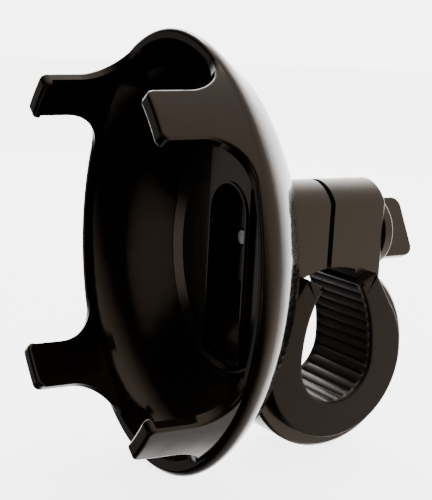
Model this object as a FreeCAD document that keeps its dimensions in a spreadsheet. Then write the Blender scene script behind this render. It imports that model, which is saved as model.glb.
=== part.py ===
"""Phone holder for a 25.4 mm handlebar: a dished cradle with four claws, a plastic strap clamp
with two ears, and a wing knob on the clamp bolt.

Millimetres. The origin is on the axis of the handlebar. X runs along the handlebar, Y from the
phone towards the rider's side of the clamp (the knob is at +Y), Z is up.
"""
import FreeCAD, Part
import Sketcher
import os
from FreeCAD import Vector

doc = FreeCAD.newDocument("PhoneHandlebarMount")
sheet = doc.addObject("Spreadsheet::Sheet", "Sizes")

SIZES = [
    # clamp liner, a ribbed C that grips the bar
    ("bar_radius", 12.7),
    ("liner_length", 27.4),
    ("liner_radius", "=bar_radius + 11.2"),
    ("liner_rise", 0.7),          # outside of the clamp sits this much above the bar's axis
    ("arch_height", "=arm_top + 0.3"),        # the bore runs up into a pointed arch
    ("arm_top", "=liner_radius + liner_rise + 0.6"),
    ("arm_inner_top", "=arm_top - 3"),
    ("arm_outer_reach", "=bar_radius - 0.1"),
    ("arm_inner_reach", "=bar_radius * sqrt(1 - (arm_inner_top / arch_height)^2) + 0.15"),
    ("groove_radius", 0.6),
    ("groove_depth_centre", 0.3),
    ("groove_step", 13.5),        # degrees
    ("groove_end_land", 1.5),
    ("bore_chamfer", 0.4),
    # strap, one piece with both ears
    ("strap_radius", "=liner_radius + 4"),
    ("strap_half_width", 9.8),
    ("strap_bore_gap", 0.1),
    ("relief_radius", "=strap_radius - 1.5"),
    ("relief_front", "=ear_front - 8"),
    ("relief_back", "=ear_back - 9.7"),
    ("ear_top", "=bolt_height + 15.9"),
    ("ear_crown_radius", "=strap_half_width + 1.3"),
    ("ear_front", 21.0),
    ("ear_gap_front", 3.3),
    ("ear_gap", 1.7),
    ("ear_back", 17.1),
    ("ear_round", 0.8),
    # clamp bolt, nut and washer
    ("bolt_height", "=strap_radius + liner_rise + 7"),
    ("bolt_diameter", 4.9),
    ("bolt_tip", "=ear_front + nut_thick + 1.7"),
    ("bolt_hole", "=bolt_diameter + 0.6"),
    ("bolt_tip_chamfer", 0.5),
    ("nut_flats", "=bolt_diameter + 3.1"),
    ("nut_thick", 4.0),
    ("nut_bore", "=bolt_diameter + 0.1"),
    ("nut_gap", 0.1),
    ("washer_outside", "=bolt_diameter + 5.1"),
    ("washer_hole", "=bolt_diameter + 0.4"),
    ("washer_thick", 1.0),
    ("washer_seat", "=washer_outside + 0.6"),
    ("knob_face_gap", 0.1),
    # wing knob
    ("hub_radius", 10.8),
    ("hub_thick", 3.2),
    ("wing_reach", "=hub_radius - 1.4"),
    ("wing_height", 13.0),
    ("wing_thick", 3.6),
    ("wing_corner", 3.2),
    ("wing_turn", 28.0),
    ("wing_round", 0.7),
    ("tang_thick", "=wing_thick - 1.6"),
    ("tang_width", "=hub_radius - 2.8"),
    ("tang_length", "=wing_height - 4"),
    # cradle outline
    ("cradle_height", "=bolt_height - 2.6"),
    ("rim_half_width", 49.1),
    ("rim_half_height", 60.8),
    ("rim_plane", "=floor_front + 21"),
    ("dome_depth", "=rim_plane - 17"),
    ("rim_round", 0.9),
    ("boss_half_width", "=strap_half_width + 3.2"),
    ("boss_bottom", "=bolt_height - 12.6"),
    ("boss_margin", 3.0),
    ("boss_back", "=ear_front - 0.8"),
    ("web_thick", "=nut_thick + 1.4"),
    ("socket_gap", 0.25),
    ("strap_gap", 0.4),
    # claws
    ("claw_reach", 23.0),
    ("claw_oval_half_width", "=rim_half_width - 0.7"),
    ("claw_oval_half_height", "=rim_half_height - 3.3"),
    ("claw_wall", 2.8),
    ("claw_lip_wall", 4.3),
    ("claw_lip_thick", 2.3),
    ("claw_half_width", 6.9),
    ("claw_corner", 2.0),
    ("claw_round", 0.9),
    ("claw_flare", 11.5),
    ("claw_x", "=0.6756 * claw_oval_half_width"),
    ("claw_rise", "=0.6817 * claw_oval_half_height"),
    ("claw_turn", 53.0),
    # floor plate with the arched slot
    ("floor_front", "=floor_back + 3.4"),
    ("floor_back", "=max(ear_front + web_thick + 2.2; strap_radius + 0.6)"),
    ("floor_half_width", "=0.6 * rim_half_width"),
    ("floor_half_height", "=0.566 * rim_half_height"),
    ("floor_back_half_width", "=floor_half_width - 4.1"),
    ("floor_back_half_height", "=floor_half_height - 4"),
    ("floor_height", "=cradle_height - 1.4"),
    ("floor_step", 1.8),
    ("floor_bevel", 3.2),
    ("floor_seat_gap", 0.15),
    ("bridge_half_width", "=slot_half_width + 1.4"),
    ("bridge_drop", 0.5),
    ("slot_half_width", 8.8),
    ("slot_bottom", "=floor_height - floor_half_height + 4.4"),
    ("slot_top", "=bolt_height + 15.4"),
    ("slot_rim", 0.6),
]
for row, (alias, value) in enumerate(SIZES, 1):
    sheet.set("A%d" % row, alias)
    sheet.setAlias("B%d" % row, alias)
for row, (alias, value) in enumerate(SIZES, 1):
    sheet.set("B%d" % row, str(value))
doc.recompute()
SIZE = {alias: float(sheet.get(alias)) for alias, _ in SIZES}

ALONG_X = "rotation(vector(0; 1; 0); 90)"
ALONG_Y = "rotation(vector(1; 0; 0); -90)"
OVAL = "rotation(vector(1; 1; 1); 240)"     # major axis up, minor axis along X
IN_YZ = "rotation(vector(1; 1; 1); 120)"    # sketch x is Y, sketch y is Z


def bound(text):
    """Puts the sheet's name before every alias in an expression."""
    out, word = "", ""
    aliases = {a for a, _ in SIZES}
    for ch in text + " ":
        if ch.isalnum() or ch == "_":
            word += ch
        else:
            out += ("Sizes." + word if word in aliases else word) + ch
            word = ""
    return out.strip()


def make(kind, name, at=("0", "0", "0"), turn=None, **sizes):
    item = doc.addObject("Part::" + kind, name)
    for prop, text in sizes.items():
        item.setExpression(prop, bound(text))
    spot = "vector(%s; %s; %s)" % at
    item.setExpression("Placement", bound("placement(%s; %s)" % (
        spot, turn or "rotation(vector(0; 0; 1); 0)")))
    return item


def rod_x(name, radius, half, y, z):
    return make("Cylinder", name, ("-(%s)" % half, y, z), ALONG_X,
                Radius=radius, Height="2 * (%s)" % half)


def rod_y(name, radius, y_from, y_to, z, x="0"):
    return make("Cylinder", name, (x, y_from, z), ALONG_Y,
                Radius=radius, Height="(%s) - (%s)" % (y_to, y_from))


def block(name, half_x, y_from, y_to, z_from, z_to):
    return make("Box", name, ("-(%s)" % half_x, y_from, z_from), None,
                Length="2 * (%s)" % half_x, Width="(%s) - (%s)" % (y_to, y_from),
                Height="(%s) - (%s)" % (z_to, z_from))


def oval(name, y, half_w, half_h, z):
    item = make("Ellipse", name, ("0", y, z), OVAL)
    item.MajorRadius, item.MinorRadius = 2000, 10
    item.setExpression("MajorRadius", bound(half_h))
    item.setExpression("MinorRadius", bound(half_w))
    return item


def oval_bar(name, y_from, y_to, half_w, half_h, z):
    item = doc.addObject("Part::Extrusion", name)
    item.Base = oval(name + "Oval", y_from, half_w, half_h, z)
    item.DirMode = "Custom"
    item.Dir = Vector(0, 1, 0)
    item.setExpression("LengthFwd", bound("(%s) - (%s)" % (y_to, y_from)))
    item.Solid = True
    return item


def loft(name, ovals, ruled=False):
    item = doc.addObject("Part::Loft", name)
    item.Sections = ovals
    item.Solid, item.Ruled = True, ruled
    return item


def fuse(name, *items):
    item = doc.addObject("Part::MultiFuse", name)
    item.Shapes = list(items)
    return item


def overlap(name, *items):
    item = doc.addObject("Part::MultiCommon", name)
    item.Shapes = list(items)
    return item


def cut(name, base, tool):
    item = doc.addObject("Part::Cut", name)
    item.Base, item.Tool = base, tool
    return item


def mirrored(name, source, normal, z="0"):
    item = doc.addObject("Part::Mirroring", name)
    item.Source, item.Normal = source, normal
    item.setExpression("Base.z", bound(z))
    return item


def rounded(name, base, radius, pick, kind="Fillet"):
    """Rounds or chamfers the edges of base that pick accepts."""
    doc.recompute()
    item = doc.addObject("Part::" + kind, name)
    item.Base = base
    size = SIZE[radius]
    edges = [i for i, e in enumerate(base.Shape.Edges, 1) if pick(e)]
    item.Edges = [(i, size, size) for i in edges]
    return item


def ends(edge):
    return [v.Point for v in edge.Vertexes]


def sketch_yz(name, points, half):
    """A prism along X whose outline has the given corners, each a pair of expressions."""
    outline = doc.addObject("Sketcher::SketchObject", name + "Outline")
    outline.setExpression("Placement", bound("placement(vector(-(%s); 0; 0); %s)" % (half, IN_YZ)))
    count = len(points)
    spots = [Vector(v[0], v[1], 0) for _, _, v in points]
    for i in range(count):
        outline.addGeometry(Part.LineSegment(spots[i], spots[(i + 1) % count]), False)
    Constraint = Sketcher.Constraint
    for i in range(count):
        outline.addConstraint(Constraint("Coincident", i, 2, (i + 1) % count, 1))
    for i, (u, v, spot) in enumerate(points):
        for kind, text, value in (("DistanceX", u, spot[0]), ("DistanceY", v, spot[1])):
            n = outline.addConstraint(Constraint(kind, -1, 1, i, 1, value))
            outline.setExpression("Constraints[%d]" % n, bound(text))
    item = doc.addObject("Part::Extrusion", name)
    item.Base = outline
    item.DirMode = "Custom"
    item.Dir = Vector(1, 0, 0)
    item.setExpression("LengthFwd", bound("2 * (%s)" % half))
    item.Solid = True
    return item


NODES = {}

# --- clamp liner: a ribbed C inside the strap, open at the top ---
liner_half = "liner_length / 2"
liner_round = rod_x("LinerRound", "liner_radius", liner_half, "0", "liner_rise")
shoulder = sketch_yz("LinerShoulders", [
    ("liner_radius * cos(38)", "liner_rise + liner_radius * sin(38)", (19, 16)),
    ("arm_outer_reach", "arm_top", (12.6, 25)),
    ("-arm_outer_reach", "arm_top", (-12.6, 25)),
    ("-liner_radius * cos(38)", "liner_rise + liner_radius * sin(38)", (-19, 16)),
], liner_half)
shoulder_middle = block("LinerShoulderMiddle", "strap_half_width + strap_bore_gap",
                        "-2 * liner_radius", "2 * liner_radius", "0", "2 * liner_radius")
mouth = sketch_yz("LinerMouth", [
    ("arm_inner_reach", "arm_inner_top", (6.4, 22)),
    ("arm_outer_reach", "arm_top", (12.6, 25)),
    ("arm_outer_reach", "arm_top + 20", (12.6, 45)),
    ("-arm_outer_reach", "arm_top + 20", (-12.6, 45)),
    ("-arm_outer_reach", "arm_top", (-12.6, 25)),
    ("-arm_inner_reach", "arm_inner_top", (-6.4, 22)),
], "liner_length")
bore_round = rod_x("LinerBore", "bar_radius", "liner_length", "0", "0")
arch_oval = make("Ellipse", "LinerArchOval", ("-liner_length", "0", "0"), IN_YZ + " * rotation(vector(0; 0; 1); 90)")
arch_oval.MajorRadius = 900
arch_oval.setExpression("MajorRadius", bound("arch_height"))
arch_oval.setExpression("MinorRadius", bound("bar_radius"))
arch = doc.addObject("Part::Extrusion", "LinerArch")
arch.Base, arch.DirMode, arch.Dir, arch.Solid = arch_oval, "Custom", Vector(1, 0, 0), True
arch.setExpression("LengthFwd", bound("2 * liner_length"))
upper = block("LinerArchUpper", "2 * liner_length", "-2 * liner_radius", "2 * liner_radius", "0",
              "2 * liner_radius")
bore_ends = [make("Cone", "LinerBoreEnd" + end, (spot, "0", "0"), ALONG_X, Radius1=near,
                  Radius2=far, Height="bore_chamfer")
             for end, spot, near, far in (
                 ("A", "-liner_length / 2", "bar_radius + bore_chamfer", "bar_radius"),
                 ("B", "liner_length / 2 - bore_chamfer", "bar_radius", "bar_radius + bore_chamfer"))]
grooves = []
for step in range(-7, 8):
    angle = "(-90 + %d * groove_step)" % step
    ring = "(bar_radius + groove_depth_centre)"
    grooves.append(rod_x("LinerGroove%d" % (step + 7), "groove_radius",
                         liner_half + " - groove_end_land",
                         "%s * cos(%s)" % (ring, angle), "%s * sin(%s)" % (ring, angle)))
for step in range(5):
    height = "(%s * arch_height)" % (0.247 + 0.1216 * step)
    side = "(bar_radius * sqrt(1 - (%s / arch_height)^2) + groove_depth_centre)" % height
    for sign in ("", "-"):
        grooves.append(rod_x("LinerArmGroove%d%s" % (step, "B" if sign else "A"), "groove_radius",
                             liner_half + " - groove_end_land", sign + side, height))
liner_blank = cut("LinerBlank",
                  fuse("LinerOutside", liner_round, cut("LinerHooks", shoulder, shoulder_middle)),
                  fuse("LinerOpening", mouth, bore_round, overlap("LinerArchCut", arch, upper), *bore_ends))
liner_plain = cut("LinerPlain", liner_blank, fuse("LinerGrooves", *grooves))
NODES["clamp_liner"] = liner_plain

# --- strap with its two ears ---
strap_half = "strap_half_width"
ring_out = rounded("StrapRingEdges", rod_x("StrapOutside", "strap_radius", strap_half, "0",
                                           "liner_rise"), "ear_round",
                   lambda e: len(ends(e)) == 1, "Chamfer")
ear_block = block("EarBlock", strap_half, "-ear_front", "ear_back", "liner_rise", "ear_top")
crown = rod_y("EarCrown", "ear_crown_radius", "-ear_front - 1", "ear_back + 1",
              "ear_top - ear_crown_radius")
crown_start = "ear_top - ear_crown_radius + sqrt(ear_crown_radius^2 - strap_half_width^2)"
ear_sides = block("EarSides", strap_half, "-ear_front - 1", "ear_back + 1", "0", crown_start)
ears = rounded("EarsRounded", overlap("Ears", ear_block, fuse("EarShape", crown, ear_sides)),
               "ear_round", lambda e: e.BoundBox.YLength < 0.01 and
               e.BoundBox.ZMax > SIZE["liner_rise"] + 1)
strap_bore = rod_x("StrapBore", "liner_radius + strap_bore_gap", "strap_half_width + 1",
                   "0", "liner_rise")
relief = overlap("StrapRelief",
                 rod_x("ReliefRound", "relief_radius", "strap_half_width + 1", "0", "liner_rise"),
                 block("ReliefBox", "strap_half_width + 2", "-relief_front", "relief_back",
                       "0", "2 * strap_radius"))
ear_slit = block("EarSlit", "strap_half_width + 2", "-ear_gap_front", "ear_gap - ear_gap_front",
                 "0", "2 * ear_top")
bolt_way = rod_y("EarBoltHole", "bolt_hole / 2", "-ear_front - 5", "ear_back + 5", "bolt_height")
washer_floor = "ear_back + knob_face_gap - washer_thick"
washer_seat = rod_y("WasherSeat", "washer_seat / 2", washer_floor, "ear_back + 5", "bolt_height")
strap = cut("StrapPlain", fuse("StrapSolid", ring_out, ears),
            fuse("StrapOpenings", strap_bore, relief, ear_slit, bolt_way, washer_seat))
NODES["clamp_strap"] = strap

# --- bolt, nut, washer ---
nut_front = "-ear_front - nut_thick - nut_gap"
hub_face = "ear_back + knob_face_gap"
hub_back = hub_face + " + hub_thick"
shank = rod_y("BoltShank", "bolt_diameter / 2", "-bolt_tip", hub_back, "bolt_height")
shank = rounded("BoltShankTip", shank, "bolt_tip_chamfer",
                lambda e: len(ends(e)) == 1 and ends(e)[0].y < 0, "Chamfer")


def wing_box(name, thick, length, y_from, y_to):
    """A plate through the bolt's axis, turned about it."""
    at = ("-(%s) / 2 * cos(wing_turn) + (%s) / 2 * sin(wing_turn)" % (thick, length), y_from,
          "bolt_height - (%s) / 2 * sin(wing_turn) - (%s) / 2 * cos(wing_turn)" % (thick, length))
    return make("Box", name, at, "rotation(vector(0; 1; 0); -wing_turn)",
                Length=thick, Width="(%s) - (%s)" % (y_to, y_from), Height=length)


tang = wing_box("BoltTang", "tang_thick", "tang_width", hub_back + " - 0.5", hub_back + " + tang_length")
NODES["clamp_bolt"] = fuse("BoltSolid", shank, tang)

hub = rod_y("KnobHub", "hub_radius", hub_face, hub_back, "bolt_height")
hub = rounded("KnobHubEdge", hub, "rim_round",
              lambda e: len(ends(e)) == 1 and ends(e)[0].y > SIZE["ear_back"] + SIZE["hub_thick"] / 2)
wing = wing_box("KnobWing", "wing_thick", "2 * wing_reach", hub_back + " - 0.5", hub_back + " + wing_height")
wing = rounded("KnobWingCorners", wing, "wing_corner",
               lambda e: abs(e.Length - SIZE["wing_thick"]) < 0.01 and
               ends(e)[0].y > SIZE["ear_back"] + SIZE["hub_thick"] + SIZE["wing_height"] / 2)
wing = rounded("KnobWingEdges", wing, "wing_round",
               lambda e: abs(e.Length - SIZE["wing_thick"]) > 0.01 and
               e.BoundBox.YMax > SIZE["ear_back"] + SIZE["hub_thick"] + 1)
NODES["wing_knob"] = cut("KnobBody", fuse("KnobSolid", hub, wing), NODES["clamp_bolt"])

nut_round = "nut_flats / sqrt(3)"
nut = make("Prism", "NutHex", ("0", nut_front, "bolt_height"), ALONG_Y,
           Circumradius=nut_round, Height="nut_thick")
nut.Polygon = 6
nut_turned = rounded("NutTurned", rod_y("NutBlank", nut_round, nut_front,
                                        nut_front + " + nut_thick", "bolt_height"),
                     "rim_round", lambda e: len(ends(e)) == 1, "Chamfer")
nut_hole = rod_y("NutHole", "nut_bore / 2", "-ear_front - 8", "-ear_front + 1", "bolt_height")
NODES["captive_nut"] = cut("NutBody", overlap("NutShape", nut, nut_turned), nut_hole)

washer = rod_y("WasherDisc", "washer_outside / 2", washer_floor, hub_face, "bolt_height")
washer_eye = rod_y("WasherEye", "washer_hole / 2", washer_floor + " - 2", hub_face + " + 2",
                   "bolt_height")
NODES["knob_washer"] = cut("WasherBody", washer, washer_eye)

# --- cradle: oval dome, hollow in front, a boss at the back for the clamp's ear ---
# depth, width and height as shares of the full ones, and how far the oval's centre has sunk
OUTSIDE = [(0.0, 0.98, 0.985, 0.7), (0.06, 1.0, 1.0, 1.4), (0.16, 0.99, 0.967, 1.7),
           (0.35, 0.885, 0.892, 1.8), (0.6, 0.693, 0.749, 3.0), (0.8, 0.499, 0.565, 4.4),
           (0.93, 0.307, 0.377, 5.2)]
outer = [oval("Outside%d" % i, "-rim_plane + %s * dome_depth" % depth,
              "rim_half_width * %s" % wide, "rim_half_height * %s" % tall,
              "cradle_height - %s" % sunk)
         for i, (depth, wide, tall, sunk) in enumerate(OUTSIDE)]
dome = rounded("DomeRim", loft("Dome", outer), "rim_round",
               lambda e: abs(e.BoundBox.YMax + SIZE["rim_plane"]) < 0.01)
INSIDE = [("-rim_plane - 0.5", "rim_half_width - 2.6", "rim_half_height - 3.3",
           "cradle_height - 0.2"),
          ("-rim_plane + 0.15 * dome_depth", "0.925 * rim_half_width", "0.908 * rim_half_height",
           "cradle_height - 1"),
          ("-rim_plane + 0.35 * dome_depth", "0.815 * rim_half_width", "0.825 * rim_half_height",
           "cradle_height - 1.5"),
          ("-floor_front", "floor_half_width + floor_seat_gap",
           "floor_half_height + floor_seat_gap", "floor_height"),
          ("-floor_back", "floor_back_half_width + floor_seat_gap",
           "floor_back_half_height + floor_seat_gap", "floor_height - 0.4"),
          ("-floor_back + 4.2", "floor_back_half_width - 6.4", "floor_back_half_height - 6.9",
           "floor_height - 2.2")]
inner = [oval("Inside%d" % i, *spec) for i, spec in enumerate(INSIDE)]
bowl = cut("Bowl", dome, loft("BowlInside", inner))
boss_crown = "boss_half_width + 1"
boss_top = "ear_top + boss_margin"
boss = overlap("Boss",
               block("BossBlock", "boss_half_width", "-ear_front - web_thick", "-boss_back",
                     "boss_bottom", boss_top),
               fuse("BossShape",
                    rod_y("BossCrown", boss_crown, "-2 * ear_front", "0",
                          boss_top + " - (%s)" % boss_crown),
                    block("BossSides", "boss_half_width", "-2 * ear_front", "0", "0",
                          boss_top + " - (%s)" % boss_crown)))
socket_crown = "(ear_crown_radius + socket_gap)"
socket_half = "strap_half_width + socket_gap"
socket = overlap("Socket",
                 block("SocketBlock", socket_half, "-ear_front", "0", "liner_rise",
                       "ear_top + socket_gap"),
                 fuse("SocketShape",
                      rod_y("SocketCrown", socket_crown, "-2 * ear_front", "0",
                            "ear_top - ear_crown_radius"),
                      block("SocketSides", socket_half, "-2 * ear_front", "0", "0",
                            crown_start)))
strap_way = fuse("StrapAndLinerWay",
                 rod_x("StrapWay", "strap_radius + strap_gap", socket_half, "0", "liner_rise"),
                 rod_x("LinerWay", "liner_radius + strap_gap", liner_half + " + strap_gap", "0",
                       "liner_rise"))
nut_pocket = make("Prism", "NutPocket", ("0", nut_front + " - nut_gap", "bolt_height"), ALONG_Y,
                  Circumradius="(nut_flats + 2 * nut_gap) / sqrt(3)",
                  Height="nut_thick + 2 * nut_gap + 1")
nut_pocket.Polygon = 6
tip_hole = rod_y("BoltTipHole", "bolt_hole / 2", "-ear_front - web_thick - 2", "-ear_front + 1",
                 "bolt_height")
shell = cut("ShellBack", fuse("ShellWithBoss", bowl, boss),
            fuse("ShellOpenings", socket, strap_way, nut_pocket, tip_hole))

# four claws on the oval outline, each a strip of wall that flares into the rim and ends in a lip;
# the claw is built about the middle of the rim's front, y = 0 there, and then set in its place
def claw_bar(name, y_from, inset):
    """The bar the claws are cut from: the claw oval at the tips, the rim's own oval at the rim."""
    return loft(name, [
        oval(name + "Tip", y_from, "claw_oval_half_width - (%s)" % inset,
             "claw_oval_half_height - (%s)" % inset, "0"),
        oval(name + "Root", "2", "0.998 * rim_half_width - (%s)" % inset,
             "0.997 * rim_half_height - (%s)" % inset, "-1.3")], True)


wall = cut("ClawWall", claw_bar("ClawOutside", "-claw_reach", "0"),
           claw_bar("ClawInside", "-claw_reach - 0.01", "claw_wall"))
lip = cut("ClawLip",
          oval_bar("LipOutside", "-claw_reach", "-claw_reach + claw_lip_thick",
                   "claw_oval_half_width - 0.5", "claw_oval_half_height - 0.5", "0"),
          oval_bar("LipInside", "-claw_reach - 1", "0",
                   "claw_oval_half_width - claw_lip_wall",
                   "claw_oval_half_height - claw_lip_wall", "0"))
CLAW = "rotation(vector(0; 1; 0); claw_turn)"


def claw_box(name, half, y_from, y_to):
    at = ("claw_x - (%s) * cos(claw_turn) - 11 * sin(claw_turn)" % half, y_from,
          "claw_rise + (%s) * sin(claw_turn) - 11 * cos(claw_turn)" % half)
    return make("Box", name, at, CLAW, Length="2 * (%s)" % half,
                Width="(%s) - (%s)" % (y_to, y_from), Height="18")


def flare_round(name, sign):
    reach = "%s(claw_half_width + claw_flare)" % sign
    at = ("claw_x + %s * cos(claw_turn) - 12 * sin(claw_turn)" % reach, "-claw_flare",
          "claw_rise - %s * sin(claw_turn) - 12 * cos(claw_turn)" % reach)
    return make("Cylinder", name, at, CLAW, Radius="claw_flare",
                Height="20")


strip = rounded("ClawStrip", claw_box("ClawStripBox", "claw_half_width", "-claw_reach", "1.5"),
                "claw_corner",
                lambda e: e.BoundBox.YMax < 0.1 - SIZE["claw_reach"] and abs(e.Length - 18) < 0.01)
flare = cut("ClawFlare",
            claw_box("ClawFlareBox", "claw_half_width + claw_flare", "-claw_flare", "1.5"),
            fuse("ClawFlareCut", flare_round("ClawFlareA", ""), flare_round("ClawFlareB", "-")))


def claw_edge(edge):
    """True for the outline of the claw's outer face and of the lip's end."""
    box, middle = edge.BoundBox, edge.CenterOfMass
    if isinstance(edge.Curve, Part.Line) or edge.Length < 1 or box.YMin > -1:
        return False
    wide = middle.x / (SIZE["claw_oval_half_width"] - SIZE["claw_wall"] / 2)
    tall = middle.z / (SIZE["claw_oval_half_height"] - SIZE["claw_wall"] / 2)
    return box.YMin < 0.1 - SIZE["claw_reach"] or wide ** 2 + tall ** 2 > 1


claw = rounded("ClawRounded",
               overlap("Claw", fuse("ClawWallAndLip", wall, lip), fuse("ClawPlan", strip, flare)),
               "claw_round", claw_edge)
claw.setExpression("Placement", bound(
    "placement(vector(0; -rim_plane; cradle_height); rotation(vector(0; 0; 1); 0))"))
claw_low = mirrored("ClawLow", claw, Vector(0, 0, 1), "cradle_height")
claw_far = mirrored("ClawFar", claw, Vector(1, 0, 0))
claw_far_low = mirrored("ClawFarLow", claw_low, Vector(1, 0, 0))
NODES["cradle_shell"] = fuse("CradleBody", shell, claw, claw_low, claw_far, claw_far_low)

# --- floor plate: bevelled oval with a raised bridge and an arched slot ---
plate = loft("PlateBlank", [
    oval("PlateFront", "-floor_front", "floor_half_width", "floor_half_height", "floor_height"),
    oval("PlateBack", "-floor_back", "floor_back_half_width", "floor_back_half_height",
         "floor_height - 0.4")], True)
hollow = loft("PlateBevel", [
    oval("BevelFront", "-floor_front - 0.01", "floor_half_width - 0.6", "floor_half_height - 0.6",
         "floor_height"),
    oval("BevelBack", "-floor_front + floor_step", "floor_half_width - floor_bevel",
         "floor_half_height - floor_bevel", "floor_height - 0.2")], True)
bridge = overlap("Bridge",
                 block("BridgeBlock", "bridge_half_width", "-floor_front + bridge_drop",
                       "-floor_front + floor_step + 0.5", "floor_height - 2 * floor_half_height",
                       "floor_height + 2 * floor_half_height"),
                 oval_bar("BridgeLimit", "-floor_front", "-floor_back",
                          "floor_half_width - floor_bevel + 0.6",
                          "floor_half_height - floor_bevel + 0.6", "floor_height - 0.2"))


def arch_bar(name, grow, y_from, y_to):
    half = "(slot_half_width + %s)" % grow
    centre = "slot_top - slot_half_width"
    return fuse(name, block(name + "Sides", half, y_from, y_to, "slot_bottom - %s" % grow, centre),
                rod_y(name + "Top", half, y_from, y_to, centre))


slot = arch_bar("Slot", "0", "-floor_front - 2", "-floor_back + 2")
slot_rim = arch_bar("SlotRim", "slot_rim", "-floor_front", "-floor_front + floor_step")
NODES["floor_plate"] = cut("PlateBody",
                           fuse("PlateSolid", cut("PlateRim", plate, hollow), bridge, slot_rim),
                           slot)

doc.recompute()
bad = [o.Name for o in doc.Objects
       if "Invalid" in o.State or "Error" in o.State
       or (hasattr(o, "Shape") and o.TypeId.startswith("Part") and
           (o.Shape.isNull() or not o.Shape.isValid()))]
if bad:
    raise RuntimeError("not built: " + ", ".join(bad))
os.makedirs("parts", exist_ok=True)
for label, item in NODES.items():
    item.Label = label
    solids = item.Shape.Solids
    print(label, "solids", len(solids), "volume", round(item.Shape.Volume, 1))
    item.Shape.exportStep("parts/%s.step" % label)
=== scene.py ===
import math
import bmesh
import bpy
import numpy as np
from mathutils import Matrix, Vector


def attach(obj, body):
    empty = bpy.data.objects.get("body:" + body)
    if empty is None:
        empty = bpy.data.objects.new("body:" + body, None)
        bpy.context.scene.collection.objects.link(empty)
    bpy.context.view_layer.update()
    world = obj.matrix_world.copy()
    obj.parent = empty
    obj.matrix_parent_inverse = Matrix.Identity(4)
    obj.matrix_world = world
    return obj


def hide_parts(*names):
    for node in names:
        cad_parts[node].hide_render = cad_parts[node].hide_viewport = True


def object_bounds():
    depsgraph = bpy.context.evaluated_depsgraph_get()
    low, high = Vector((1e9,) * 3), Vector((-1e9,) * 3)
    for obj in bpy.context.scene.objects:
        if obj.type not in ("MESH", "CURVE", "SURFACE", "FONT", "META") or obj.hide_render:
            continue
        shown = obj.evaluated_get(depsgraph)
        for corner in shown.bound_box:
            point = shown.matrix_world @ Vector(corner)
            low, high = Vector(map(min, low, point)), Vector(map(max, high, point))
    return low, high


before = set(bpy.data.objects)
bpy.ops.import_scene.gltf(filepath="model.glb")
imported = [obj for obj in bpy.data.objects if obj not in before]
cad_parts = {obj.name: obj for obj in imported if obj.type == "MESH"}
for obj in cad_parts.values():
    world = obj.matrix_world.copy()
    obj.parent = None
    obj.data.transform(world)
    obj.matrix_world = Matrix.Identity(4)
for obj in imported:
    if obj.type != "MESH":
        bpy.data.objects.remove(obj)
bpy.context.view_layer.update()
print("frame loaded:", sorted(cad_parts))


def linearColour(code):
    # sRGB hex to linear: c/12.92 below 0.04045, else ((c+0.055)/1.055)^2.4
    part = [int(code[i:i + 2], 16) / 255 for i in (0, 2, 4)]
    return [c / 12.92 if c <= 0.04045 else ((c + 0.055) / 1.055) ** 2.4 for c in part] + [1.0]


def addNode(tree, kind, inputs=(), **settings):
    # an input is a plain value, or another node's output to link
    node = tree.nodes.new("ShaderNode" + kind)
    for key, value in settings.items():
        setattr(node, key, value)
    for key, value in dict(inputs).items():
        if isinstance(value, bpy.types.NodeSocket):
            tree.links.new(value, node.inputs[key])
        else:
            node.inputs[key].default_value = value
    return node


def newMaterial(name, colour, roughness, **more):
    material = bpy.data.materials.new(name)
    material.use_nodes = True
    shader = material.node_tree.nodes["Principled BSDF"]
    shader.inputs["Base Color"].default_value = linearColour(colour)
    shader.inputs["Roughness"].default_value = roughness
    for key, value in more.items():
        shader.inputs[key].default_value = value
    return material, material.node_tree, shader


def grain(tree, perMetre, detail, low, high):
    # noise patches 1000 / perMetre mm across on object coordinates, mapped to low..high
    spot = addNode(tree, "TexCoord").outputs["Object"]
    noise = addNode(tree, "TexNoise", {"Vector": spot, "Scale": perMetre, "Detail": detail})
    return addNode(tree, "MapRange", {"Value": noise.outputs["Fac"],
                                      "From Min": 0.35, "From Max": 0.65,
                                      "To Min": low, "To Max": high}).outputs["Result"]


def bumpFrom(tree, shader, height, distance, strength):
    bump = addNode(tree, "Bump", {"Height": height, "Distance": distance, "Strength": strength})
    tree.links.new(bump.outputs["Normal"], shader.inputs["Normal"])


# injection-moulded ABS from a polished tool: deep black with a warm brown cast, mirror
# highlights that ripple over 11 mm where the skin sank; the 1.4 mm polish marks are drawn
# coarser than real ones, so that they show
glossAbs, tree, shader = newMaterial("polishedMouldAbs", "120d08", 0.1, **{
    "Specular IOR Level": 0.4, "Specular Tint": linearColour("ffe1c7")})
tree.links.new(grain(tree, 700, 2, 0.07, 0.15), shader.inputs["Roughness"])
bumpFrom(tree, shader, grain(tree, 90, 1, 0.0, 1.0), 0.00015, 0.35)

# the plate's tool was a little less polished: the same black, slightly wider highlights,
# mottled over 0.8 mm
plateAbs, tree, shader = newMaterial("drawPolishedAbs", "110e09", 0.16, **{
    "Specular IOR Level": 1.0, "Specular Tint": linearColour("ffe6d2")})
tree.links.new(grain(tree, 1200, 2, 0.13, 0.2), shader.inputs["Roughness"])

# strap and knob, moulded glass-filled nylon: soft highlights, mottled over 0.7 mm by the
# fibres, which are drawn coarser than real ones, so that they show
strapNylon, tree, shader = newMaterial("mouldedGlassNylon", "1c160f", 0.22, **{
    "Specular Tint": linearColour("ffe1c7")})
tree.links.new(grain(tree, 1500, 3, 0.17, 0.28), shader.inputs["Roughness"])

# liner, pressed thermoplastic rubber: dull brown-black, highlights spread wide by a fine
# 0.4 mm skin texture
linerRubber, tree, shader = newMaterial("pressedTpeRubber", "17120d", 0.45, **{
    "Specular IOR Level": 0.22, "Specular Tint": linearColour("ffdcc0")})
tree.links.new(grain(tree, 2000, 4, 0.36, 0.5), shader.inputs["Roughness"])
bumpFrom(tree, shader, grain(tree, 2600, 3, 0.0, 1.0), 0.00002, 0.5)

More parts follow.
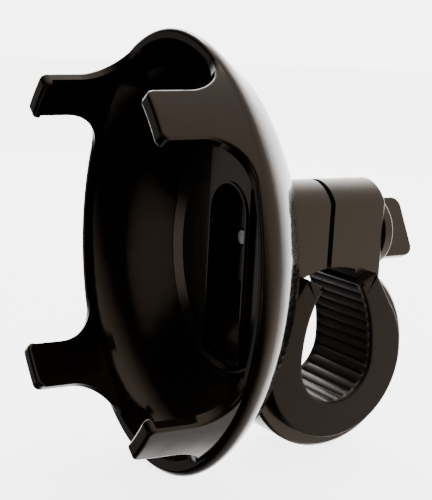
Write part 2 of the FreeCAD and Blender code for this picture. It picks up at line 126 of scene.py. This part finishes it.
# bolt, nut and washer, zinc plated and bright-dipped: pale silver, blotchy over 0.8 mm
zincSteel, tree, shader = newMaterial("brightZincPlate", "d4d3cf", 0.25, Metallic=1.0)
tree.links.new(grain(tree, 1200, 4, 0.18, 0.36), shader.inputs["Roughness"])

# clamp liner, in mm: a closed outline swept along the bar, its bore rolled into convex ribs
liner = {"half": 13.7, "strapHalf": 9.9, "bar": 12.7, "outside": 23.9, "rise": 0.7,
         "shoulder": 38, "cutHeight": 22.4, "armTop": 25.2, "innerTop": 22.2,
         "outerReach": 12.6, "innerReach": 6.4, "arch": 25.5, "pitch": 3.1, "ribDepth": 0.8,
         "endLand": 1.5, "round": 0.45, "capInset": 1.1, "points": 562,
         "roundSteps": ((0, 1), (0.13, 0.5), (0.5, 0.13), (1, 0)),          # along, inset
         "ribFade": ((0, 0), (0.25, 0.45), (0.6, 0.8), (1.1, 0.97), (1.6, 1))}


def evenly(path, count):
    # the same path with count points spaced evenly along it, and their distance from its start
    reach = np.concatenate([[0], np.cumsum(np.linalg.norm(np.diff(path, axis=0), axis=1))])
    spots = np.linspace(0, reach[-1], count)
    return np.stack([np.interp(spots, reach, path[:, k]) for k in (0, 1)], axis=1), spots


def linerBore(size):
    # down the left arm, round the bar and up the right arm: a half circle below and a half
    # ellipse as tall as the arch above, given by angle and then spaced evenly along its length
    top = math.asin(size["innerTop"] / size["arch"])
    turn = np.linspace(math.pi - top, 2 * math.pi + top, 900)
    tall = np.where(np.sin(turn) > 0, size["arch"], size["bar"])
    return evenly(np.stack([size["bar"] * np.cos(turn), tall * np.sin(turn)], axis=1),
                  size["points"])


def linerOutside(size, middle):
    # from the right arm's tip over the outside to the left arm's tip: a circle round the bar,
    # and outside the strap a straight shoulder from the circle up to the arm's corner
    start = (math.asin(size["cutHeight"] / size["outside"]) if middle
             else math.radians(size["shoulder"]))
    turn = np.linspace(start, -math.pi - start, 181)
    ring = size["outside"] * np.stack([np.cos(turn), np.sin(turn)], axis=1) + [0, size["rise"]]
    corner = ring[0] if middle else np.array([size["outerReach"], size["armTop"]])
    tip = np.array([size["innerReach"], size["innerTop"]])
    along = np.linspace(0, 1, 15)[:-1, None]
    arm = np.concatenate([tip + along * (corner - tip), corner + along * (ring[0] - corner)])
    return np.concatenate([arm, ring, arm[::-1] * [-1, 1]])


def ribbedLiner(size):
    # rib surface: sunk by depth * (1 - sqrt(1 - t^2)), t from -1 to 1 over each rib's pitch;
    # the ends are rounded by moving the whole outline inwards by a growing inset
    bore, reach = linerBore(size)
    turns = (reach - reach[-1] / 2) / size["pitch"]
    valley = size["ribDepth"] * (1 - np.sqrt(1 - (2 * (turns - np.round(turns))) ** 2))
    half, edge, land, strap = size["half"], size["round"], size["endLand"], size["strapHalf"]
    stations = [(half, size["capInset"], 0)]                             # x, inset, ribs
    stations += [(half - along * edge, inset * edge, 0) for along, inset in size["roundSteps"]]
    stations += [(half - land - along, 0, ribs) for along, ribs in size["ribFade"]]
    stations += [(strap, 0, 1), (strap - 0.02, 0, 1), (3, 0, 1)]
    rows = []
    for x, inset, ribs in stations + [(-x, inset, ribs) for x, inset, ribs in stations[::-1]]:
        outside = evenly(linerOutside(size, abs(x) < strap), size["points"])[0]
        outline = np.concatenate([bore, outside])
        ahead = np.roll(outline, -1, axis=0) - np.roll(outline, 1, axis=0)
        outward = (np.stack([-ahead[:, 1], ahead[:, 0]], axis=1)
                   / np.linalg.norm(ahead, axis=1)[:, None])
        sunk = np.full(len(outline), float(inset))
        sunk[:len(bore)] += ribs * valley
        outline = outline - outward * sunk[:, None]
        rows.append(np.column_stack([np.full(len(outline), x), outline]))
    return np.array(rows) / 1000                                         # mm to metres


def sweptMesh(name, grid, sharp):
    # each row of the grid is a closed loop whose second half runs back beside its first;
    # neighbouring rows are joined, and a strip across each end row closes the end
    rows, columns = grid.shape[:2]
    i, j = np.meshgrid(np.arange(rows - 1), np.arange(columns), indexing="ij")
    ahead = (j + 1) % columns
    quads = np.stack([i * columns + j, i * columns + ahead, (i + 1) * columns + ahead,
                      (i + 1) * columns + j], axis=-1).reshape(-1, 4)
    near = np.arange(columns // 2 - 1)
    strip = np.stack([near, near + 1, columns - 2 - near, columns - 1 - near], axis=-1)
    faces = np.concatenate([quads, strip, strip + (rows - 1) * columns])
    mesh = bpy.data.meshes.new(name)
    mesh.from_pydata(grid.reshape(-1, 3).tolist(), [], faces.tolist())
    work = bmesh.new()
    work.from_mesh(mesh)
    bmesh.ops.remove_doubles(work, verts=work.verts, dist=1e-6)
    bmesh.ops.recalc_face_normals(work, faces=work.faces)
    work.to_mesh(mesh)
    work.free()
    mesh.shade_smooth()
    mesh.set_sharp_from_angle(angle=math.radians(sharp))
    return mesh


def addObject(name, data):
    item = bpy.data.objects.new(name, data)
    bpy.context.collection.objects.link(item)
    return item


linerMesh = sweptMesh("ribbedLiner", ribbedLiner(liner), 40)
linerMesh.materials.append(linerRubber)
linerPiece = addObject("ribbedLiner", linerMesh)
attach(linerPiece, "holder")
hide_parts("clamp_liner")
print("liner:", len(linerMesh.vertices), "points")

finishes = {"cradle_shell": glossAbs, "floor_plate": plateAbs, "clamp_strap": strapNylon,
            "wing_knob": strapNylon, "clamp_liner": linerRubber, "captive_nut": zincSteel,
            "clamp_bolt": zincSteel, "knob_washer": zincSteel}
for node, material in finishes.items():
    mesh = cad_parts[node].data
    for index in range(len(mesh.materials)):
        mesh.materials[index] = material
print("materials on", len(finishes), "nodes")

# studio: a pale floor, which neither lights the part nor is mirrored in it
floor = {"half": 3, "glow": 4.0}
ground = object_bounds()[0].z
floorMesh = bpy.data.meshes.new("floorSheet")
floorMesh.from_pydata([(x * floor["half"], y * floor["half"], ground)
                       for x, y in ((-1, -1), (1, -1), (1, 1), (-1, 1))], [], [(0, 1, 2, 3)])
floorSheet = addObject("floorSheet", floorMesh)
floorSheet.visible_glossy = floorSheet.visible_diffuse = False
floorPaint, tree, shader = newMaterial("floorPaper", "f7f6f4", 0.9, **{
    "Emission Color": linearColour("ffffff"), "Emission Strength": floor["glow"]})
floorMesh.materials.append(floorPaint)

# the room, near black where no source is: each source is a soft spot of the sky, given by its
# direction, the cosines from it at which it starts and is full, and its power
sources = {"sky": ((0.15, 0.8, 0.58), -0.35, 0.55, 1.25),          # bright above and behind
           "wall": ((-0.7, 0.7, 0.0), 0.35, 0.95, 4.0),            # mirrored in the far edges
           "ground": ((0.0, 0.7, -0.71), 0.45, 0.95, 0.8),
           "front": ((-0.78, -0.6, -0.19), 0.9, 1.0, 0.25),        # shows the bolt's end
           "window": ((0.16, -0.98, -0.05), 0.9, 0.995, 0.55)}     # shows the plate's band
room = {"dark": 0.015, "backdrop": 6.0}
world = bpy.data.worlds.new("studioWorld")
bpy.context.scene.world = world
world.use_nodes = True
tree = world.node_tree
way = addNode(tree, "TexCoord").outputs["Generated"]
level = room["dark"]
for towards, start, full, power in sources.values():
    facing = addNode(tree, "VectorMath", {0: way, 1: Vector(towards).normalized()},
                     operation="DOT_PRODUCT").outputs["Value"]
    spot = addNode(tree, "MapRange", {"Value": facing, "From Min": start, "From Max": full,
                                      "To Max": power}, interpolation_type="SMOOTHSTEP")
    level = addNode(tree, "Math", {0: spot.outputs["Result"], 1: level}).outputs[0]
seen = addNode(tree, "LightPath").outputs["Is Camera Ray"]    # the backdrop is an even white
strength = addNode(tree, "Mix", {0: seen, 2: level, 3: room["backdrop"]}, data_type="FLOAT")
tree.links.new(strength.outputs[0], tree.nodes["Background"].inputs["Strength"])
tree.nodes["Background"].inputs["Color"].default_value = (1, 1, 1, 1)

# one weak soft box, left of the part and above it
box = {"spot": Vector((-0.75, 0.3, 0.75)), "aim": Vector((0, 0, 0.02)), "side": 0.5,
       "power": 3, "spread": 120}
boxLight = bpy.data.lights.new("leftBox", "AREA")
boxLight.shape, boxLight.size, boxLight.energy = "SQUARE", box["side"], box["power"]
boxLight.spread = math.radians(box["spread"])
leftBox = addObject("leftBox", boxLight)
leftBox.location = box["spot"]
leftBox.rotation_mode = "QUATERNION"
leftBox.rotation_quaternion = (box["aim"] - box["spot"]).to_track_quat("-Z", "Y")
print("studio ready")

# camera: a fixed place, angles in radians and roll in the part's frame
view = {"place": (0.261217, -0.204769, 0.093470), "azimuth": 0.9948377,
        "elevation": 0.1935963, "roll": 0.0532359, "lens": 81.953, "sensor": 36}
a, e, r = view["azimuth"], view["elevation"], view["roll"]
back = Vector((math.sin(a) * math.cos(e), -math.cos(a) * math.cos(e), math.sin(e)))
right = (-back).cross(Vector((0, 0, 1))).normalized()
up = right.cross(-back)
sideways = math.cos(r) * right + math.sin(r) * up
upright = math.cos(r) * up - math.sin(r) * right
cameraData = bpy.data.cameras.new("studioCamera")
cameraData.sensor_width, cameraData.lens = view["sensor"], view["lens"]
cameraData.clip_start, cameraData.clip_end = 0.01, 20
camera = addObject("studioCamera", cameraData)
camera.matrix_world = (Matrix.Translation(view["place"])
                       @ Matrix((sideways, upright, back)).transposed().to_4x4())
bpy.context.scene.camera = camera
